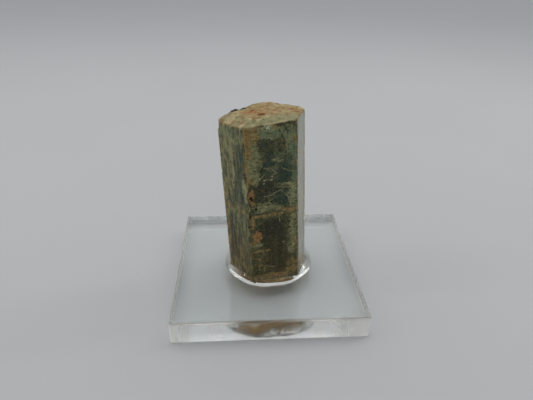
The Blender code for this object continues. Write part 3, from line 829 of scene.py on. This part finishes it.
def grain_mesh(name, centres, sizes, spins):
    """Joins many grains into one mesh."""
    points, corners, counts, start = [], [], [], 0
    for centre, size, spin in zip(centres, sizes, spins):
        rings = grain_rings(centre, size, spin)
        poles = np.array([[0, 0, -size[2]], [0, 0, size[2]]]) @ spin.T + centre
        here = np.arange(GRAIN_ROWS * GRAIN_TURNS).reshape(GRAIN_ROWS, GRAIN_TURNS) + start
        beside = np.roll(here, -1, axis=1)
        hub = np.full(GRAIN_TURNS, start + here.size)
        corners += [np.stack([here[:-1], beside[:-1], beside[1:], here[1:]], -1).ravel()]
        corners += [np.stack([beside[0], here[0], hub], -1).ravel()]
        corners += [np.stack([here[-1], beside[-1], hub + 1], -1).ravel()]
        counts += [np.full((GRAIN_ROWS - 1) * GRAIN_TURNS, 4), np.full(2 * GRAIN_TURNS, 3)]
        points += [rings.reshape(-1, 3), poles]
        start += here.size + 2
    points, corners, counts = stand(np.vstack(points)), np.concatenate(corners), np.concatenate(counts)
    return fill_mesh(name, points, corners, counts, smooth=False)


def random_spins(draw, count):
    """Rotation matrices from random unit quaternions."""
    spin = draw.normal(size=(count, 4))
    w, x, y, z = (spin / np.linalg.norm(spin, axis=1, keepdims=True)).T
    rows = [
        [1 - 2 * (y * y + z * z), 2 * (x * y - z * w), 2 * (x * z + y * w)],
        [2 * (x * y + z * w), 1 - 2 * (x * x + z * z), 2 * (y * z - x * w)],
        [2 * (x * z - y * w), 2 * (y * z + x * w), 1 - 2 * (x * x + y * y)],
    ]
    return np.array(rows).transpose(2, 0, 1)


draw = np.random.default_rng(7)
share = np.linspace(0, len(BLADE_CREST) - 1, BLADE_GRAINS)
crest = np.column_stack([np.interp(share, np.arange(len(BLADE_CREST)), axis) for axis in BLADE_CREST.T])
stray = np.column_stack([draw.uniform(-8.0, -3.0, STRAY_GRAINS), draw.uniform(1.0, 6.4, STRAY_GRAINS)])
blade_sizes = draw.uniform(0.14, 0.38, (BLADE_GRAINS, 3))
under_crest = top_height(crest[:, :2])
# Two courses of grains: one at the crest, and one half way down to the rim.
upper = crest - (0, 0, CREST_SINK)
scatter = draw.uniform(-0.4, 0.4, (BLADE_GRAINS, 2))
lower = np.column_stack([crest[:, :2] + scatter, (upper[:, 2] + under_crest) / 2])
strays = np.column_stack([stray, top_height(stray) + STRAY_LIFT])
centres = np.vstack([upper, lower, strays])
sizes = np.vstack([blade_sizes, blade_sizes[::-1], draw.uniform(0.07, 0.16, (STRAY_GRAINS, 3))])
black_grains = grain_mesh("black_mineral", centres, sizes, random_spins(draw, len(centres)))
black = Finish("black_mineral", IOR=1.65)
black_tone = black.noise(black.place((2.5, 2.5, 2.5)), detail=4.0)
black.set("Base Color", black.between(black_tone, 0.35, 0.7, (18, 18, 16), (52, 48, 38)))
black.set("Roughness", black.ease(black_tone, 0.3, 0.7, 0.25, 0.6))
black.wear(black_grains)
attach(black_grains, "root")

# ---------------------------------------------------------------------------------------
# The adhesive: one blob of clear gel, squeezed out round the foot and set. It wets the base,
# stands up from it in a steep lip, and slopes up to the faces. Its underside lies just inside
# the base, and it touches the crystal's underside in a band only; the rest is trapped air.
# ---------------------------------------------------------------------------------------
GLUE_CENTRE = np.array([0.6, -0.9])
# The edge of the blob, as (direction in degrees, distance from that centre).
GLUE_EDGE = np.array([
    (-150, 12), (-132, 11.9), (-120, 12), (-100, 11.75), (-81, 11.3), (-62, 11.9), (-42, 11.9),
    (-20, 12.6), (10, 12.5), (45, 12.8), (70, 12.2), (95, 12.4), (135, 12.7), (180, 12.4),
])
LIP_HEIGHT, LIP_SLOPE, LIP_RADIUS = 1.25, np.radians(77), 0.4
CREST_BASE, CREST_RATE = 1.0, 0.72  # height of the crest: base + rate x gap to the lip
GLUE_SINK = 0.05  # overlap with the base, which stands for wetted contact
CONTACT_RISE, AIR_DROP = 0.14, 0.15  # the inner skin above the foot where wet, below where not
GLUE_COLUMNS = 240
# The wetted band under the foot: for each x, the band's two ends in y.
WET_X = [-10, -8, -5, -2, 1, 4, 6, 8.6, 11]
WET_FRONT = [-10, -11, -12, -9.5, -5.6, -5.1, -4.2, -2.6, -3.6]
WET_BACK = [-4.6, -3.7, -4.8, -4.2, -2.6, -2.2, -0.6, 0.2, -3.2]
WET_BEHIND = -0.8
TRAPPED = [(-5, -4.75, 0.5), (-5.85, -4.3, 0.4)]  # bubbles in the band, as (x, y, radius)


def foot_section(level, spread):
    """The crystal's outline as it stands, at heights over the base's underside, moved
    outwards by spread."""
    loop = prism_outline(GLUE_COLUMNS)
    grown = loop * (1 + spread / np.hypot(loop[:, 0], loop[:, 1]))[:, None]
    level = np.broadcast_to(level, GLUE_COLUMNS)
    return np.column_stack([grown + FOOT[:2] + LEAN * (level - FOOT[2])[:, None], level])


def level_ring(spots, level):
    """Points in plan, lifted to a level or to levels of their own."""
    return np.column_stack([spots, np.broadcast_to(level, len(spots))])


def wetted(spots):
    """Share of contact under the foot: in the band between its two ends, less bubbles, and
    everywhere behind a line."""
    noise = 0.9 * grain(level_ring(spots, 0.0), 1.3, 101) + 0.5 * grain(level_ring(spots, 0.0), 0.45, 105)
    front, back = (np.interp(spots[:, 0], WET_X, ends) for ends in (WET_FRONT, WET_BACK))
    band = step(spots[:, 1] - front + noise, -0.15, 0.15) * step(back - spots[:, 1] + noise, -0.15, 0.15)
    for x, y, radius in TRAPPED:
        band = band * step(np.hypot(spots[:, 0] - x, spots[:, 1] - y), radius * 0.7, radius * 1.3)
    return np.maximum(band, step(spots[:, 1] - WET_BEHIND + 2 * noise, -0.2, 0.2))


def glue_rings():
    """Loops of the blob: flat underside outwards, up the steep lip and round its top by a
    circular arc, up the slope (a blend of the share of the way in and its square), over onto
    the crystal, down inside it, and inwards under the foot."""
    wall = foot_section(BASE_TOP + 2.5, 0.0)
    spoke = wall[:, :2] - GLUE_CENTRE
    turn = np.arctan2(spoke[:, 1], spoke[:, 0])
    direction = np.column_stack([np.cos(turn), np.sin(turn)])
    reach = np.interp(np.degrees(turn), GLUE_EDGE[:, 0], GLUE_EDGE[:, 1], period=360)
    smoothing = np.hanning(17) / np.hanning(17).sum()
    reach = np.convolve(np.tile(reach, 3), smoothing, "same")[GLUE_COLUMNS:2 * GLUE_COLUMNS]
    edge = GLUE_CENTRE + direction * reach[:, None]
    gap = reach - np.hypot(*spoke.T)
    crest = BASE_TOP + CREST_BASE + CREST_RATE * gap + 0.12 * np.sin(3 * turn + 1.0) + 0.07 * np.sin(5 * turn)
    floor = BASE_TOP - GLUE_SINK
    shares = (0.3, 0.6, 0.85, 0.97, 1.0)
    rings = [level_ring(GLUE_CENTRE + (edge - GLUE_CENTRE) * share, floor) for share in shares]
    slope = np.arctan2(crest - BASE_TOP - LIP_HEIGHT, gap - 0.6)
    lip = LIP_HEIGHT * (1 + 0.12 * np.sin(2 * turn + 0.8) + 0.06 * np.sin(7 * turn))
    straight = lip - LIP_RADIUS * np.cos(slope)
    for share in (0.12, 0.4, 0.7, 1.0):
        level = BASE_TOP + straight * share
        rings.append(level_ring(edge - direction * (straight * share / np.tan(LIP_SLOPE))[:, None], level))
    base_in = straight / np.tan(LIP_SLOPE)
    for share in np.linspace(0, 1, 6)[1:]:
        lean = LIP_SLOPE * (1 - share) + slope * share
        inwards = base_in + LIP_RADIUS * (np.sin(LIP_SLOPE) - np.sin(lean))
        level = BASE_TOP + straight + LIP_RADIUS * (np.cos(lean) - np.cos(LIP_SLOPE))
        rings.append(level_ring(edge - direction * inwards[:, None], level))
    start = rings[-1]
    for share in np.linspace(0, 1, 20)[1:]:
        level = start[:, 2] + (crest - start[:, 2]) * share * (0.75 + 0.25 * share)
        foot = foot_section(level, -0.02)[:, :2]
        rings.append(level_ring(start[:, :2] * (1 - share) + foot * share, level))
    over = rings[-1]
    inner_top = FOOT[2] + CONTACT_RISE
    for depth, share in ((0.2, 0.0), (0.25, 0.5), (0.25, 1.0)):
        rings.append(foot_section(over[:, 2] * (1 - share) + inner_top * share, -depth))
    for share in np.linspace(1.0, 0.04, 26)[1:]:
        spots = FOOT[:2] + (foot_section(FOOT[2], -0.25)[:, :2] - FOOT[:2]) * share
        rings.append(level_ring(spots, FOOT[2] - AIR_DROP + (AIR_DROP + CONTACT_RISE) * wetted(spots)))
    return np.array(rings)


glue_low, glue_high = (*GLUE_CENTRE, BASE_TOP - GLUE_SINK), (*FOOT[:2], FOOT[2] - AIR_DROP)
glue = shell("set_adhesive", glue_rings(), glue_low, glue_high)
gel = Finish("clear_gel", IOR=1.49, Roughness=0.0, Transmission_Weight=1.0)
waves = gel.noise(gel.place((0.35, 0.35, 0.5)), detail=2.0)
gel.set("Base Color", gel.blend(waves, (0.99, 0.99, 0.985, 1), (0.98, 0.98, 0.965, 1)))
gel.set("Normal", gel.relief(waves, 0.1))
gel.wear(glue)
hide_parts("adhesive_collar")
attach(glue, "root")

# ---------------------------------------------------------------------------------------
# Brown grit: flat flakes of iron-stained dirt off the broken foot, caught in the bond, thick
# where the gel wets the stone and few where air is trapped. They are set a hair down inside the
# clear base instead, so that no second clear surface lies over their colour.
# ---------------------------------------------------------------------------------------
GRIT_TRIES = 5200
GRIT_BEHIND, GRIT_STRAY = 0.7, 0.13  # share kept behind the band on the right, and over air
GRIT_MARGIN = 0.8  # how far inside the crystal's outline it ends
GRIT_LEVEL, GRIT_THICK = BASE_TOP - 0.08, 0.012
FLAKE_CORNERS = 9

draw = np.random.default_rng(23)
own = np.column_stack([draw.uniform(-11, 11, GRIT_TRIES), draw.uniform(-10, 10, GRIT_TRIES)])
spots = FOOT[:2] + own
indoors = np.hypot(*own.T) < outline_reach(np.arctan2(own[:, 1], own[:, 0])) - GRIT_MARGIN
behind = GRIT_BEHIND * step(spots[:, 0], -1.0, 1.5)
keep = np.maximum(GRIT_STRAY, wetted(spots) * np.where(spots[:, 1] > WET_BEHIND, behind, 1.0))
spots = spots[indoors & (draw.uniform(size=GRIT_TRIES) < keep)]
flakes = len(spots)
turn = np.linspace(0, 2 * np.pi, FLAKE_CORNERS, endpoint=False) + draw.uniform(0, 1, (flakes, 1))
reach = draw.uniform(0.1, 0.4, (flakes, 1)) * draw.uniform(0.7, 1.25, (flakes, FLAKE_CORNERS))
level = (GRIT_LEVEL - draw.uniform(0, 0.03, (flakes, 1))) * np.ones(FLAKE_CORNERS)
low = np.dstack([spots[:, :1] + reach * np.cos(turn), spots[:, 1:] + reach * np.sin(turn), level])
grit_points = np.concatenate([low, low + (0, 0, GRIT_THICK)], axis=1).reshape(-1, 3)
first = 2 * FLAKE_CORNERS * np.arange(flakes)[:, None]
here = np.arange(FLAKE_CORNERS)
beside = np.roll(here, -1)
walls = np.stack([here, beside, beside + FLAKE_CORNERS, here + FLAKE_CORNERS], -1).ravel()
ends = [first + here[::-1], first + here + FLAKE_CORNERS, first + walls]
corners = np.concatenate(ends, axis=1).ravel()
counts = np.tile([FLAKE_CORNERS] * 2 + [4] * FLAKE_CORNERS, flakes)
grit = fill_mesh("brown_grit", grit_points, corners, counts, smooth=False)
stain = Finish("brown_grit", Roughness=1.0, Specular_IOR_Level=0.0)
stain_tone = stain.noise(stain.place((0.9, 0.9, 0.9)), detail=4.0)
stain.set("Base Color", stain.between(stain_tone, 0.35, 0.65, (154, 122, 66), (210, 180, 124)))
stain.wear(grit)
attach(grit, "root")

# ---------------------------------------------------------------------------------------
# The studio: a pale matt table, an even room, a broad soft light overhead and two small warm
# ones low at the sides, and the camera.
# ---------------------------------------------------------------------------------------
TABLE_SIZE = 6000.0
TABLE_LEVEL = -0.05  # the hair of air under the base, which keeps its underside a mirror
ROOM_LIGHT = 0.58
ROOM_FRONT = 0.45  # how much of that comes from behind the camera
OVERHEAD_WATTS = 0.66
SIDE_WATTS = 0.1
LENS_PIXELS = 429.3  # focal length in pixels of a frame 533 wide
FRAME_WIDTH = 533
SENSOR = 36.0
CAMERA_PLACE = np.array([-7.10, -101.77, 83.05])
CAMERA_TURNS = np.radians([-3.967, 29.148, 1.054])  # azimuth, elevation, roll

half_table = TABLE_SIZE / 2
table_points = np.array([(-1, -1, 0), (1, -1, 0), (1, 1, 0), (-1, 1, 0)]) * half_table + (0, 0, TABLE_LEVEL)
table = fill_mesh("table", table_points, np.arange(4), np.array([4]))
matt = Finish("matt_table", Roughness=0.6, Specular_IOR_Level=0.3)
table_tone = matt.noise(matt.place((0.01, 0.01, 0.01)), detail=2.0)
matt.set("Base Color", matt.blend(table_tone, paint(203, 205, 207), paint(208, 210, 214)))
matt.wear(table)

scene = bpy.context.scene
scene.world = bpy.data.worlds.new("room")
scene.world.use_nodes = True
sky = scene.world.node_tree
room = sky.nodes["Background"]
# The room is dimmer on the side that the camera and its holder stand on.
heading = sky.nodes.new("ShaderNodeSeparateXYZ")
sky.links.new(sky.nodes.new("ShaderNodeTexCoord").outputs["Generated"], heading.inputs[0])
dimmed = sky.nodes.new("ShaderNodeMapRange")
dimmed.interpolation_type = "SMOOTHSTEP"
for socket, value in {"From Min": -0.95, "From Max": 0.3, "To Min": ROOM_FRONT, "To Max": 1.0}.items():
    dimmed.inputs[socket].default_value = value
sky.links.new(heading.outputs["Y"], dimmed.inputs["Value"])
lit = sky.nodes.new("ShaderNodeMath")
lit.operation = "MULTIPLY"
lit.inputs[1].default_value = ROOM_LIGHT
sky.links.new(dimmed.outputs["Result"], lit.inputs[0])
sky.links.new(lit.outputs[0], room.inputs["Strength"])
room.inputs["Color"].default_value = (0.97, 0.985, 1.0, 1)


def soft_light(name, place, aim, size, watts, colour):
    """A rectangular lamp at a place, facing a point. Sizes are in millimetres."""
    lamp = bpy.data.lights.new(name, "AREA")
    lamp.shape = "RECTANGLE"
    lamp.size, lamp.size_y = (side * MM for side in size)
    lamp.energy = watts
    lamp.color = colour
    holder = bpy.data.objects.new(name, lamp)
    holder.location = Vector(place) * MM
    holder.rotation_euler = (Vector(aim) - Vector(place)).to_track_quat("-Z", "Y").to_euler()
    scene.collection.objects.link(holder)


soft_light("overhead", (0, 170, 430), (0, 150, 0), (900, 360), OVERHEAD_WATTS, (1.0, 0.99, 0.975))
soft_light("left_lamp", (-330, -20, 310), (0, 0, 10), (30, 110), SIDE_WATTS, (1.0, 0.9, 0.76))
soft_light("right_lamp", (330, 90, 250), (0, 0, 10), (30, 110), SIDE_WATTS, (1.0, 0.9, 0.76))

azimuth, elevation, roll = CAMERA_TURNS
flat = np.cos(elevation)
back = np.array([np.sin(azimuth) * flat, -np.cos(azimuth) * flat, np.sin(elevation)])
level_right = np.array([np.cos(azimuth), np.sin(azimuth), 0])
level_up = np.cross(back, level_right)
right = np.cos(roll) * level_right + np.sin(roll) * level_up
up = -np.sin(roll) * level_right + np.cos(roll) * level_up
lens = bpy.data.cameras.new("camera")
lens.sensor_fit = "HORIZONTAL"
lens.sensor_width = SENSOR
lens.lens = LENS_PIXELS / FRAME_WIDTH * SENSOR
lens.clip_start = 0.005
camera = bpy.data.objects.new("camera", lens)
pose = np.eye(4)
pose[:3, 0], pose[:3, 1], pose[:3, 2], pose[:3, 3] = right, up, back, CAMERA_PLACE * MM
camera.matrix_world = Matrix(pose.tolist())
scene.collection.objects.link(camera)
scene.camera = camera

scene.view_settings.view_transform = "Standard"
scene.cycles.max_bounces = 24
scene.cycles.transmission_bounces = 24
scene.cycles.glossy_bounces = 12
scene.cycles.blur_glossy = 0.0  # so that the light under the clear base is not lost
